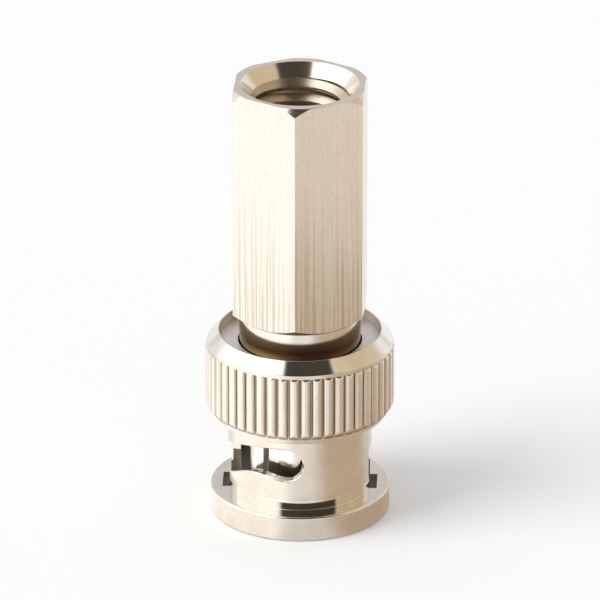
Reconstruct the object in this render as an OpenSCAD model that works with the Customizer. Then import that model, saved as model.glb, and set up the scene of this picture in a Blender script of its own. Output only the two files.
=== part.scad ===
/*
  Twist-on BNC cable plug, standing on the front face of its coupling nut.
  Millimetres. +Z runs from the mating face to the cable end, and the plug's axis is the Z axis.
  The coupling nut turns round the plug body and is pulled forward against two wave washers.
*/

/* [Coupling nut] */
// Outer diameter of the front flange
flange_d = 14.4; // [13.8:0.1:15]
// Thickness of the front flange
flange_h = 2.1; // [1.6:0.1:2.6]
// Outer diameter of the slotted barrel
barrel_d = 11.5; // [11.2:0.05:11.7]
// Diameter of the bore that passes over the jack
jack_bore_d = 9.9; // [9.8:0.05:9.95]
// Diameter over the crests of the grip ring
grip_d = 15.1; // [14.8:0.1:15.6]
// Number of ridges round the grip ring
ridges = 50; // [40:2:60]
// Height of the lower face of the grip ring
grip_z = 8.45; // [8.2:0.05:8.6]
// Height of the open rear rim of the nut
nut_h = 15.45; // [15.3:0.05:15.8]

/* [Bayonet slots] */
// Width of the lengthwise keyways that let the jack's studs in
keyway_w = 2.7; // [2.2:0.1:2.9]
// Radius that the keyways reach from the axis
keyway_reach = 6.2; // [5.9:0.1:6.3]
// Angle from +X to the middle of the first keyway
keyway_angle = 178; // [170:1:190]
// Radius of the round seat at the end of each slot
seat_r = 1.35; // [1.1:0.05:1.4]
// Height of the middle of that seat
seat_z = 5.93; // [5.7:0.05:6.1]
// Angle from the middle of a keyway to the middle of the seat
slot_travel = 81; // [75:1:84]

/* [Plug body] */
// Diameter of the shoulder that the nut runs on
shoulder_d = 12.24; // [12.2:0.02:12.3]
// Height of the front face of the shoulder
shoulder_z = 9.65; // [9.65:0.05:9.75]
// Thickness of the shoulder
shoulder_h = 1.05; // [0.9:0.05:1.1]
// Outer diameter of the ground post inside the cable entry
post_d = 4.5; // [4.2:0.1:4.8]
// Height of the end of the ground post
post_end_z = 20; // [19:0.1:20.1]

/* [Hex barrel] */
// Distance across the flats of the hexagon
flats = 10.3; // [10:0.1:10.6]
// Angle from +X to the corner of the hexagon nearest the front
hex_angle = -94; // [-120:1:-60]
// Height of the lower end of the hexagon
hex_z = 17; // [16.6:0.1:18]
// Height of the cable end, which is the height of the whole plug
plug_h = 36.5; // [34:0.5:40]
// Outer diameter of the round neck below the hexagon
neck_d = 9.7; // [9.6:0.05:9.75]
// Diameter of the cable bore at the root of its thread
cable_bore_d = 7.76; // [7.4:0.02:7.9]
// Diameter of the mouth where its bevel meets the end face
mouth_d = 9.4; // [9:0.1:9.6]

/* [Contacts] */
// Outer diameter of the slotted contact sleeve
sleeve_d = 8.1; // [8.1:0.05:8.15]
// Wall of the contact sleeve
sleeve_wall = 0.4; // [0.35:0.05:0.5]
// Distance from the front face to the tips of the sleeve
sleeve_z = 0.8; // [0.6:0.1:1]
// Diameter of the centre pin
pin_d = 1.37; // [1.32:0.01:1.37]
// Height of the point of the centre pin
pin_z = 1.7; // [1.5:0.1:2]
// Height of the front face of the insulator
insulator_z = 5; // [4.8:0.1:5.3]

/* [Washers] */
// Outer diameter of the washers that lie between shoulder and retainer
washer_d = 12.2; // [12:0.02:12.24]
// Thickness of the wave washers' strip
wave_t = 0.25; // [0.2:0.05:0.3]
// Free height of each wave washer
wave_h = 1.22; // [1:0.02:1.24]
// Waves round each wave washer
waves = 3; // [3:1:4]

/* [Hidden] */

$fn = 64;
press = 0.02;                         // interference of each press fit, on the radius
run = 0.08;                           // radial clearance of each running fit
flange_r = flange_d / 2;
barrel_r = barrel_d / 2;
jack_bore_r = jack_bore_d / 2;
grip_r = grip_d / 2;
shoulder_r = shoulder_d / 2;
shoulder_top = shoulder_z + shoulder_h;
cavity_r = shoulder_r + run;          // inside of the grip ring, where the shoulder runs
cavity_z = shoulder_z - 0.05;
retainer_r = cavity_r + 0.25;
retainer_h = 0.75;
retainer_z = nut_h - 0.85 - retainer_h;
neck_r = neck_d / 2;
washer_bore_r = neck_r + run;
slip_h = 0.5;
slip_z = retainer_z - 0.05 - slip_h;
hub_r = neck_r - 0.65;
hub_end_z = hex_z - 0.5;
bore_r = cable_bore_d / 2;
relief_end_z = post_end_z + 0.2;
sleeve_r = sleeve_d / 2;
sleeve_in_r = sleeve_r - sleeve_wall;
root_r = sleeve_r - 0.2;              // groove behind the fingers, which holds the gasket
root_z = shoulder_z - 0.8;
tail_r = 3.6;                         // the sleeve's tail, pressed into the body
tail_in_r = 3.1;
tail_end_z = 12.5;
finger_floor_z = shoulder_z - 0.25;
pin_r = pin_d / 2;
shank_r = 1;
collar_r = 1.15;
collar_z = 10.6;
collar_h = 0.8;
socket_r = 0.95;
socket_end_z = 15;
back_stop_z = 15.6;                   // web of the body that the rear insulator sits against
entry_r = 1.9;                        // inside of the ground post, for the cable's dielectric
slide_fit = 0.02;                     // clearance round the insulators

// ---- helpers ------------------------------------------------------------------------------------

// A turned piece: an outline of [radius, height] points, spun round the axis.
module turned(outline) {
    rotate_extrude() polygon(outline);
}

// A quarter circle of points from one angle to another, for a rounded edge.
function arc(cx, cy, r, from, to, steps = 6) =
    [for (i = [0:steps]) let (a = from + (to - from) * i / steps) [cx + r * cos(a), cy + r * sin(a)]];

// The skin of a closed band of four-point rings, as faces for a polyhedron.
function band_faces(count, closed) = concat(
    [for (i = [0:count - (closed ? 1 : 2)], j = [0:3], half = [0:1])
        let (a = i * 4, b = ((i + 1) % count) * 4, k = (j + 1) % 4)
        half == 0 ? [a + j, b + j, b + k] : [a + j, b + k, a + k]],
    closed ? [] : [[3, 2, 1], [3, 1, 0],
        [(count - 1) * 4, (count - 1) * 4 + 1, (count - 1) * 4 + 2],
        [(count - 1) * 4, (count - 1) * 4 + 2, (count - 1) * 4 + 3]]);

// One ring of a band: radii r0 to r1 at an angle, from height z0 to z1.
function band_ring(angle, r0, r1, z0, z1) =
    [[r0 * cos(angle), r0 * sin(angle), z0], [r1 * cos(angle), r1 * sin(angle), z0],
     [r1 * cos(angle), r1 * sin(angle), z1], [r0 * cos(angle), r0 * sin(angle), z1]];

// ---- coupling nut -------------------------------------------------------------------------------

// Round end of a slot: how far round the barrel, in degrees, a point of the seat lies.
function seat_angle(a) = seat_r * sin(a) / barrel_r * 180 / PI;

// Lower and upper edge of a slot, as heights, at a share u of its travel (0 keyway, 1 seat).
function ease(u) = u * u * (3 - 2 * u);
function slot_low(u) = u < 0.68
    ? 3.2 + 1.68 * ease(u / 0.68)
    : 4.88 - (4.88 - seat_z + seat_r) * ease((u - 0.68) / 0.32);
function slot_high(u) = 5.5 + (seat_z + seat_r - 5.5) * sin(90 * min(1, u * 1.05));

// Cutter for one slot: a band that follows the ramp and ends in the round seat.
module slot_cutter() {
    steps = 22;
    lead = 14;                        // degrees of slot on the far side of the keyway's middle
    ramp = [for (i = [0:steps]) let (a = -lead + (slot_travel + lead) * i / steps, u = max(0, a / slot_travel))
            band_ring(a, 4, 7, slot_low(u), slot_high(u))];
    seat = [for (i = [1:7]) let (a = i * 12)
            band_ring(slot_travel + seat_angle(a), 4, 7, seat_z - seat_r * cos(a), seat_z + seat_r * cos(a))];
    rings = concat(ramp, seat);
    polyhedron([for (ring = rings, p = ring) p], band_faces(len(rings), false));
}

// Cutter for one keyway: straight through the flange and the barrel's wall, up into the slot.
module keyway_cutter() {
    translate([3.5, -keyway_w / 2, -1]) cube([keyway_reach - 3.5, keyway_w, 5.2]);
}

// Outline of the grip ring: round ridges that meet in narrow grooves.
module grip_outline() {
    ridge_r = PI * grip_r / ridges * 1.12;
    circle(r = grip_r - 0.28);
    for (i = [0:ridges - 1]) rotate(i * 360 / ridges)
        translate([grip_r - ridge_r, 0]) circle(r = ridge_r, $fn = 24);
}

// The grip ring: ridges cut off by the cone below, the plain band and the bevel above.
module grip_ring() {
    band_z = nut_h - 0.9;
    intersection() {
        translate([0, 0, grip_z - 0.01]) linear_extrude(nut_h - grip_z) grip_outline();
        turned([[0, grip_z], [grip_r - 0.6, grip_z], [grip_r - 0.15, grip_z + 0.75], [grip_r + 0.1, grip_z + 1.1],
                [grip_r + 0.1, band_z - 0.55], [grip_r - 0.16, band_z - 0.25], [0, band_z - 0.25]]);
    }
    turned([[0, band_z - 0.3], [grip_r - 0.12, band_z - 0.3], [grip_r - 0.12, band_z],
            [grip_r - 1.02, nut_h], [0, nut_h]]);
}

module coupling_nut() {
    edge = 0.18;
    color([0.80, 0.76, 0.70]) difference() {
        union() {
            turned(concat([[0, 0]], arc(flange_r - edge, edge, edge, -90, 0), arc(flange_r - edge, flange_h - edge, edge, 0, 90),
                          [[0, flange_h]]));
            translate([0, 0, 1]) cylinder(r = barrel_r, h = grip_z);
            grip_ring();
        }
        turned([[0, -1], [6.35, -1], [6.35, 0], [5.55, 0.8], [5.55, 1.2], [jack_bore_r, 1.8],
                [jack_bore_r, cavity_z - 0.2], [jack_bore_r + 0.2, cavity_z], [cavity_r, cavity_z],
                [cavity_r, retainer_z], [retainer_r, retainer_z], [retainer_r, nut_h + 1], [0, nut_h + 1]]);
        for (side = [0, 180]) rotate(keyway_angle + side) {
            keyway_cutter();
            slot_cutter();
        }
    }
}

// Flat washer pressed into the rear of the nut. It closes the cavity and bears on the slip washer.
module nut_retainer() {
    color([0.78, 0.74, 0.71])
        turned([[washer_bore_r, retainer_z], [retainer_r + press, retainer_z],
                [retainer_r + press, retainer_z + retainer_h], [washer_bore_r, retainer_z + retainer_h]]);
}

// ---- washers ------------------------------------------------------------------------------------

module slip_washer() {
    color([0.74, 0.73, 0.72])
        turned([[washer_bore_r, slip_z], [washer_d / 2, slip_z], [washer_d / 2, slip_z + slip_h],
                [washer_bore_r, slip_z + slip_h]]);
}

// A ring of flat strip whose height rises and falls round it.
module wave_washer(low_z, turn) {
    steps = 60;
    lift = (wave_h - wave_t) / 2;
    points = [for (i = [0:steps - 1]) let (a = i * 360 / steps, z = low_z + lift * (1 + cos(waves * (a + turn))))
              each band_ring(a, washer_bore_r + 0.1, washer_d / 2 - 0.1, z, z + wave_t)];
    polyhedron(points, band_faces(steps, true));
}

module wave_washer_rear() {
    color([0.55, 0.54, 0.52]) wave_washer(slip_z - 0.01 - wave_h, 180 / waves);
}

module wave_washer_front() {
    color([0.55, 0.54, 0.52]) wave_washer(slip_z - 0.03 - 2 * wave_h, 0);
}

// ---- plug body ----------------------------------------------------------------------------------

// Shoulder, hub and ground post, turned in one piece.
module body_shell() {
    bevel = 0.15;
    post_r = post_d / 2;
    color([0.80, 0.76, 0.70])
        turned([[tail_r, shoulder_z], [shoulder_r - bevel, shoulder_z], [shoulder_r, shoulder_z + bevel],
                [shoulder_r, shoulder_top - bevel], [shoulder_r - bevel, shoulder_top], [hub_r + press, shoulder_top],
                [hub_r + press, hub_end_z - 0.3], [hub_r - 0.3, hub_end_z], [post_r, hub_end_z],
                [post_r, post_end_z - 0.35], [entry_r + 0.08, post_end_z], [entry_r, post_end_z],
                [entry_r, back_stop_z + 0.4], [1.4, back_stop_z], [tail_in_r, back_stop_z],
                [tail_in_r, tail_end_z + 0.1], [tail_r, tail_end_z + 0.1]]);
}

// Slotted contact sleeve. Three saw cuts make its six fingers: two wide cuts and a thin one.
module outer_contact() {
    cuts = [[48, 0.6], [107, 0.25], [167, 0.6]];
    color([0.84, 0.80, 0.74]) difference() {
        turned([[sleeve_in_r, sleeve_z + 0.1], [sleeve_in_r + 0.1, sleeve_z], [sleeve_r - 0.15, sleeve_z],
                [sleeve_r, sleeve_z + 0.15], [sleeve_r, root_z - 0.12], [root_r, root_z], [root_r, shoulder_z],
                [tail_r + press, shoulder_z], [tail_r + press, tail_end_z], [tail_in_r, tail_end_z],
                [tail_in_r, finger_floor_z], [sleeve_in_r, finger_floor_z]]);
        for (cut = cuts) rotate(cut[0])
            translate([-5, -cut[1] / 2, 0]) cube([10, cut[1], 8.2]);
    }
}

// Rubber ring that seals against the rim of the jack.
module face_gasket() {
    color([0.42, 0.16, 0.11])
        turned([[root_r + slide_fit, shoulder_z - 0.65], [jack_bore_r - 0.25, shoulder_z - 0.65],
                [jack_bore_r - 0.1, shoulder_z - 0.5], [jack_bore_r - 0.1, shoulder_z],
                [root_r + slide_fit, shoulder_z]]);
}

module front_insulator() {
    face_r = tail_in_r + 0.2;
    color([0.93, 0.90, 0.84])
        turned([[shank_r + slide_fit, insulator_z], [face_r - 0.1, insulator_z], [face_r, insulator_z + 0.1],
                [face_r, finger_floor_z], [tail_in_r - slide_fit, finger_floor_z], [tail_in_r - slide_fit, collar_z],
                [shank_r + slide_fit, collar_z]]);
}

module rear_insulator() {
    seat = collar_z + collar_h;
    color([0.93, 0.90, 0.84])
        turned([[collar_r + slide_fit, collar_z], [tail_in_r - slide_fit, collar_z],
                [tail_in_r - slide_fit, back_stop_z], [1.35, back_stop_z], [socket_r + slide_fit, socket_end_z],
                [socket_r + slide_fit, seat], [collar_r + slide_fit, seat]]);
}

// Pin with a point in front, a collar held between the insulators, and a split socket for the wire.
module centre_pin() {
    point_h = 0.7;
    socket_bore_r = 0.42;
    color([0.86, 0.65, 0.20]) difference() {
        turned([[0, pin_z], [0.12, pin_z], [pin_r, pin_z + point_h], [pin_r, insulator_z + 0.05],
                [shank_r, insulator_z + 0.05], [shank_r, collar_z], [collar_r, collar_z],
                [collar_r, collar_z + collar_h], [socket_r, collar_z + collar_h], [socket_r, socket_end_z],
                [socket_bore_r + 0.25, socket_end_z], [socket_bore_r, socket_end_z - 0.3],
                [socket_bore_r, collar_z + collar_h + 0.4], [0, collar_z + collar_h + 0.2]]);
        translate([-2, -0.1, socket_end_z - 2.6]) cube([4, 0.2, 3]);
    }
}

// ---- hex barrel ---------------------------------------------------------------------------------

// Round neck and hexagon in one piece, pressed on the hub. The cable's jacket screws into it.
module hex_barrel() {
    corner_r = flats / sqrt(3);
    flat_r = flats / 2;
    rim_r = flat_r + 0.22;            // where the end bevel starts, just outside the flats
    foot_r = neck_r + 0.15;
    color([0.80, 0.76, 0.70]) difference() {
        union() {
            translate([0, 0, shoulder_top]) cylinder(r = neck_r, h = hex_z - shoulder_top + 0.5);
            intersection() {
                translate([0, 0, hex_z]) rotate(hex_angle) cylinder(r = corner_r, h = plug_h - hex_z, $fn = 6);
                turned([[0, hex_z], [foot_r, hex_z], [corner_r + 0.1, hex_z + (corner_r + 0.1 - foot_r) * 0.75],
                        [corner_r + 0.1, plug_h - (corner_r + 0.1 - rim_r)], [rim_r, plug_h], [0, plug_h]]);
            }
        }
        turned([[0, shoulder_top - 1], [hub_r, shoulder_top - 1], [hub_r, relief_end_z], [bore_r, relief_end_z],
                [bore_r, plug_h - 1.05], [mouth_d / 2, plug_h], [mouth_d / 2, plug_h + 1], [0, plug_h + 1]]);
    }
}

coupling_nut();
nut_retainer();
slip_washer();
wave_washer_rear();
wave_washer_front();
body_shell();
outer_contact();
face_gasket();
front_insulator();
rear_insulator();
centre_pin();
hex_barrel();
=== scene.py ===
"""Looks of a twist-on coaxial cable plug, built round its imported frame.

The frame's axes hold throughout: +Z runs from the mating face to the cable end, the plug's axis
is the Z axis, and -Y faces the viewer. Blender works in metres. The sizes that the classes hold
are in millimetres and are turned into metres where a mesh is made.
"""

import logging
import math
from collections.abc import Callable
from dataclasses import dataclass, replace
from enum import Enum
from functools import cached_property

import bpy
import numpy as np
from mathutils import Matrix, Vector

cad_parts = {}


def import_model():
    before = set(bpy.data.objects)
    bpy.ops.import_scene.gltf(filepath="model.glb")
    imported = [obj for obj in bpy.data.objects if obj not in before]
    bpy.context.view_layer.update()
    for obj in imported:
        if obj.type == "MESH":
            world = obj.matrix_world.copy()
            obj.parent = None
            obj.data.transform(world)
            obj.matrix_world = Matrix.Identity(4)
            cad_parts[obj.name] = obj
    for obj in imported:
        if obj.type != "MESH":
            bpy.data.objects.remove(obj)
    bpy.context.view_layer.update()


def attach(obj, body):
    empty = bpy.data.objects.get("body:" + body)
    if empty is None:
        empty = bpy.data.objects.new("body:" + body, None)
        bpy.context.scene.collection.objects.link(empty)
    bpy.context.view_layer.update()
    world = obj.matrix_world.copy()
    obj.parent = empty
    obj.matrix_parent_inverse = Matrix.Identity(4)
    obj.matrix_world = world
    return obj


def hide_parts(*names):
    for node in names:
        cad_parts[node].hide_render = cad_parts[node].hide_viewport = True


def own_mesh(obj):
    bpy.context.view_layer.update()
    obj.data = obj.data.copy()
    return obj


LOG = logging.getLogger("cable_plug")
MM = 0.001
TINY = 1e-6
SHARP_ANGLE = math.radians(32)
LEAST_TURN = 0.02  # corners that turn by fewer radians stay sharp
ROOM_SHARE = 0.45  # a rounded corner takes at most this share of a land

Colour = tuple[float, float, float]
Point = tuple[float, float, float]


class Body(Enum):
    """The bodies of the frame that pieces ride on."""

    COUPLING = "coupling"
    WASHERS = "washers"
    PLUG = "plug_body"


# ---- meshes ----------------------------------------------------------------------------------


@dataclass(frozen=True)
class Corner:
    """A corner of a shell's outline, in the half plane through the axis."""

    r: float
    z: float
    rounding: float = 0.0  # radius that the edge is broken with
    finish: int = 0  # which of the piece's finishes the land after this corner has
    prism: bool = False  # the land after this corner follows the columns' own facing


@dataclass(frozen=True)
class Station:
    """A point of a worked-out outline, with the normal on either side of it.

    Each normal is (radial part, axial part, weight of the column's facing).
    """

    r: float
    z: float
    before: Point
    after: Point
    finish: int


@dataclass(frozen=True)
class Column:
    """A lengthwise line of a shell: where it is round the axis and which way it faces."""

    angle: float
    facing: float
    reach: float = 0.0


def round_columns(count: int) -> list[Column]:
    """Returns evenly spaced columns of a shell that is round all the way."""
    return [Column(math.tau * i / count, math.tau * i / count) for i in range(count)]


def counter_clockwise(corners: list[Corner]) -> list[Corner]:
    """Puts an outline's corners in the order that makes its shell face outwards.

    Args:
        corners: The closed outline, either way round.

    Returns:
        The same outline with the enclosed area on the left of its path.
    """
    following = corners[1:] + corners[:1]
    area = sum(a.r * b.z - b.r * a.z for a, b in zip(corners, following))
    if area > 0:
        return corners
    turned = corners[::-1]
    lands = turned[1:] + turned[:1]
    return [replace(c, finish=n.finish, prism=n.prism) for c, n in zip(turned, lands)]


def stations(corners: list[Corner], steps: int) -> list[Station]:
    """Rounds an outline's corners and works out its normals.

    Args:
        corners: The closed outline.
        steps: Facets in each rounded corner.

    Returns:
        One station for a sharp corner and steps + 1 for a rounded one.
    """
    corners = counter_clockwise(corners)
    found: list[Station] = []
    for i, corner in enumerate(corners):
        last, after = corners[i - 1], corners[(i + 1) % len(corners)]
        way_in = np.array([corner.r - last.r, corner.z - last.z])
        way_out = np.array([after.r - corner.r, after.z - corner.z])
        room = min(np.linalg.norm(way_in), np.linalg.norm(way_out)) * ROOM_SHARE
        way_in /= np.linalg.norm(way_in)
        way_out /= np.linalg.norm(way_out)
        normal_in, normal_out = (np.array([way[1], -way[0]]) for way in (way_in, way_out))
        weights = float(last.prism), float(corner.prism)
        turn = math.acos(max(-1.0, min(1.0, float(way_in @ way_out))))
        trim = min(corner.rounding * math.tan(turn / 2), room)
        if corner.rounding <= 0 or turn < LEAST_TURN or corner.r < TINY:
            before = (*normal_in, weights[0])
            after_corner = (*normal_out, weights[1])
            found.append(Station(corner.r, corner.z, before, after_corner, corner.finish))
            continue
        start = np.array([corner.r, corner.z]) - way_in * trim
        radius = trim / math.tan(turn / 2)
        side = 1.0 if way_in[0] * way_out[1] - way_in[1] * way_out[0] > 0 else -1.0
        centre = start - normal_in * radius * side
        for k in range(steps + 1):
            share = k / steps
            spin = turn * share * side
            c, s = math.cos(spin), math.sin(spin)
            normal = (normal_in[0] * c - normal_in[1] * s, normal_in[0] * s + normal_in[1] * c)
            weight = weights[0] + (weights[1] - weights[0]) * share
            full = (*normal, weight)
            at = centre + np.array(normal) * radius * side
            found.append(Station(float(at[0]), float(at[1]), full, full, corner.finish))
    return found


def facing_normal(column: Column, normal: Point) -> Point:
    """Works out a station's normal in space, at one column.

    Args:
        column: The column.
        normal: Its radial part, axial part and weight of the facing.

    Returns:
        The normal.
    """
    radial, axial, weight = normal
    x = (1 - weight) * math.cos(column.angle) + weight * math.cos(column.facing)
    y = (1 - weight) * math.sin(column.angle) + weight * math.sin(column.facing)
    length = math.hypot(x, y)
    return radial * x / length, radial * y / length, axial


def new_object(
    name: str, mesh: bpy.types.Mesh, finishes: list[bpy.types.Material]
) -> bpy.types.Object:
    """Links a mesh into the scene as an object at the origin.

    Args:
        name: The object's name.
        mesh: Its mesh.
        finishes: Its materials in order.

    Returns:
        The object.
    """
    for finish in finishes:
        mesh.materials.append(finish)
    made = bpy.data.objects.new(name, mesh)
    bpy.context.scene.collection.objects.link(made)
    return made


def shell(
    name: str,
    outline: Callable[[Column], list[Corner]],
    columns: list[Column],
    finishes: list[bpy.types.Material],
    steps: int = 4,
) -> bpy.types.Object:
    """Builds a closed shell round the axis with exact corner normals.

    Args:
        name: The object's name.
        outline: Gives the closed outline at one column. All have the same number of corners.
        columns: The columns, counter-clockwise.
        finishes: The materials that the corners' finish numbers stand for.
        steps: Facets in each rounded corner.

    Returns:
        The shell, at the origin.
    """
    lines = [stations(outline(column), steps) for column in columns]
    rows = len(lines[0])
    vertices: list[Point] = []
    index: list[list[int]] = []
    for k in range(rows):
        pole = all(line[k].r < TINY for line in lines)
        row = []
        for column, line in zip(columns, lines):
            if not row or not pole:
                r, z = line[k].r * MM, line[k].z * MM
                vertices.append((r * math.cos(column.angle), r * math.sin(column.angle), z))
            row.append(len(vertices) - 1)
        index.append(row)
    faces: list[list[int]] = []
    normals: list[Point] = []
    kinds: list[int] = []
    for k in range(rows):
        n = (k + 1) % rows
        for j in range(len(columns)):
            m = (j + 1) % len(columns)
            ring = [(k, j, 1), (k, m, 1), (n, m, 0), (n, j, 0)]
            seen: list[int] = []
            chosen: list[Point] = []
            for row_number, column_number, leaving in ring:
                vertex = index[row_number][column_number]
                if vertex in seen:
                    continue
                station = lines[column_number][row_number]
                seen.append(vertex)
                normal = station.after if leaving else station.before
                chosen.append(facing_normal(columns[column_number], normal))
            if len(seen) > 2:
                faces.append(seen)
                normals += chosen
                kinds.append(lines[j][k].finish)
    mesh = bpy.data.meshes.new(name)
    mesh.from_pydata(vertices, [], faces)
    mesh.polygons.foreach_set("material_index", kinds)
    mesh.polygons.foreach_set("use_smooth", [True] * len(faces))
    mesh.normals_split_custom_set(normals)
    return new_object(name, mesh, finishes)


def flat_ring(inner: float, outer: float, low: float, high: float, edge: float) -> list[Corner]:
    """Gives the outline of a flat washer.

    Args:
        inner: Radius of its bore.
        outer: Radius of its rim.
        low: Height of its lower face.
        high: Height of its upper face.
        edge: Radius that its edges are broken with.

    Returns:
        The outline.
    """
    section = ((inner, low), (outer, low), (outer, high), (inner, high))
    return [Corner(r, z, edge) for r, z in section]


def turned(
    name: str,
    corners: list[Corner],
    finishes: list[bpy.types.Material],
    segments: int = 192,
    steps: int = 4,
) -> bpy.types.Object:
    """Builds a piece that is turned on a lathe.

    Args:
        name: The object's name.
        corners: Its closed outline.
        finishes: The materials that the corners' finish numbers stand for.
        segments: Facets round the axis.
        steps: Facets in each rounded corner.

    Returns:
        The piece, at the origin.
    """
    return shell(name, lambda _: corners, round_columns(segments), finishes, steps)


def loft(
    name: str, loops: list[list[Point]], finishes: list[bpy.types.Material], closed: bool = False
) -> bpy.types.Object:
    """Skins a row of loops that all have the same number of points.

    Args:
        name: The object's name.
        loops: The loops, in millimetres.
        finishes: The object's materials.
        closed: Whether the last loop joins the first one, or both ends are capped.

    Returns:
        The closed solid, facing outwards.
    """
    count = len(loops[0])
    vertices = [tuple(value * MM for value in point) for loop in loops for point in loop]
    faces: list[list[int]] = []
    for i in range(len(loops) if closed else len(loops) - 1):
        a, b = i * count, (i + 1) % len(loops) * count
        for j in range(count):
            k = (j + 1) % count
            faces.append([a + j, a + k, b + k, b + j])
    if not closed:
        last = (len(loops) - 1) * count
        faces.append(list(range(count))[::-1])
        faces.append([last + j for j in range(count)])
    mesh = bpy.data.meshes.new(name)
    mesh.from_pydata(vertices, [], faces)
    made = new_object(name, mesh, finishes)
    face_outwards(mesh)
    smooth_by_angle(mesh)
    return made


def face_outwards(mesh: bpy.types.Mesh) -> None:
    """Turns a closed mesh the right way out if the volume that it encloses is negative.

    Args:
        mesh: The mesh.
    """
    mesh.calc_loop_triangles()
    volume = sum(
        mesh.vertices[a].co.dot(mesh.vertices[b].co.cross(mesh.vertices[c].co))
        for a, b, c in (triangle.vertices for triangle in mesh.loop_triangles)
    )
    if volume < 0:
        mesh.flip_normals()


def smooth_by_angle(mesh: bpy.types.Mesh) -> None:
    """Shades a mesh smooth, apart from its real edges.

    Args:
        mesh: The mesh.
    """
    mesh.polygons.foreach_set("use_smooth", [True] * len(mesh.polygons))
    mesh.set_sharp_from_angle(angle=SHARP_ANGLE)
    mesh.update()


def settle(made: bpy.types.Object) -> None:
    """Turns what an object's modifiers make into its plain mesh.

    Args:
        made: The object.
    """
    evaluated = made.evaluated_get(bpy.context.evaluated_depsgraph_get())
    mesh = bpy.data.meshes.new_from_object(evaluated)
    made.modifiers.clear()
    old, made.data = made.data, mesh
    mesh.name = made.name
    bpy.data.meshes.remove(old)


def carve(made: bpy.types.Object, cutters: list[bpy.types.Object]) -> None:
    """Cuts solids out of a piece and removes them.

    Args:
        made: The piece.
        cutters: Closed solids, each with the piece's own list of finishes.
    """
    for cutter in cutters:
        cut = made.modifiers.new("cut", "BOOLEAN")
        cut.operation = "DIFFERENCE"
        cut.solver = "EXACT"
        cut.object = cutter
    bpy.context.view_layer.update()
    settle(made)
    for cutter in cutters:
        mesh = cutter.data
        bpy.data.objects.remove(cutter)
        bpy.data.meshes.remove(mesh)


def restore_turned_normals(made: bpy.types.Object, corners: list[Corner], steps: int = 4) -> None:
    """Gives a carved piece its exact normals again wherever its surface is still a turned one.

    Args:
        made: The carved piece.
        corners: The outline that it was turned from.
        steps: Facets in each rounded corner.
    """
    slack, touch, near = 0.03, 2e-6, math.cos(math.radians(26))
    mesh = made.data
    smooth_by_angle(mesh)
    line = stations(corners, steps)
    known = np.array([(s.r * MM, s.z * MM) for s in line for _ in (0, 1)])
    known_normals = np.array([n[:2] for s in line for n in (s.before, s.after)])
    co = np.empty(len(mesh.vertices) * 3, np.float32)
    mesh.vertices.foreach_get("co", co)
    corner_vertex = np.empty(len(mesh.loops), np.int32)
    mesh.loops.foreach_get("vertex_index", corner_vertex)
    at = co.reshape(-1, 3)[corner_vertex].astype(float)
    normals = np.empty(len(mesh.loops) * 3, np.float32)
    mesh.corner_normals.foreach_get("vector", normals)
    normals = normals.reshape(-1, 3).astype(float)
    face_normal = np.empty(len(mesh.polygons) * 3, np.float32)
    mesh.polygons.foreach_get("normal", face_normal)
    centre = np.empty(len(mesh.polygons) * 3, np.float32)
    mesh.polygons.foreach_get("center", centre)
    sizes = np.empty(len(mesh.polygons), np.int32)
    mesh.polygons.foreach_get("loop_total", sizes)
    face_normal, centre = face_normal.reshape(-1, 3), centre.reshape(-1, 3)
    out = centre[:, :2] / np.maximum(np.linalg.norm(centre[:, :2], axis=1), 1e-9)[:, None]
    radial = (face_normal[:, :2] * out).sum(1)
    sideways = face_normal[:, 1] * out[:, 0] - face_normal[:, 0] * out[:, 1]
    plane = np.stack([radial, face_normal[:, 2]], 1)
    plane /= np.maximum(np.linalg.norm(plane, axis=1), 1e-9)[:, None]
    owner = np.repeat(np.arange(len(sizes)), sizes)
    for i in np.nonzero(np.abs(sideways)[owner] < slack)[0]:
        wanted = plane[owner[i]]
        r = math.hypot(at[i, 0], at[i, 1])
        close = np.nonzero(np.abs(known - (r, at[i, 2])).max(1) < touch)[0]
        if len(close):
            fits = known_normals[close] @ wanted
            if fits.max() > near:
                wanted = known_normals[close[int(fits.argmax())]]
        x, y = (at[i, 0] / r, at[i, 1] / r) if r > 1e-9 else (1.0, 0.0)
        normals[i] = wanted[0] * x, wanted[0] * y, wanted[1]
    mesh.normals_split_custom_set(normals.tolist())


def block(
    name: str, low: Point, high: Point, turn: float, finishes: list[bpy.types.Material]
) -> bpy.types.Object:
    """Builds a straight cutter, turned round the axis.

    Args:
        name: The object's name.
        low: Its lowest corner before it is turned, in millimetres.
        high: Its highest corner.
        turn: The angle that it is turned by, in degrees.
        finishes: The materials of the piece that it cuts.

    Returns:
        The cutter.
    """
    c, s = math.cos(math.radians(turn)), math.sin(math.radians(turn))
    flat = [(low[0], low[1]), (high[0], low[1]), (high[0], high[1]), (low[0], high[1])]
    loops = [[(x * c - y * s, x * s + y * c, z) for x, y in flat] for z in (low[2], high[2])]
    return loft(name, loops, finishes)


# ---- node trees ------------------------------------------------------------------------------


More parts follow.
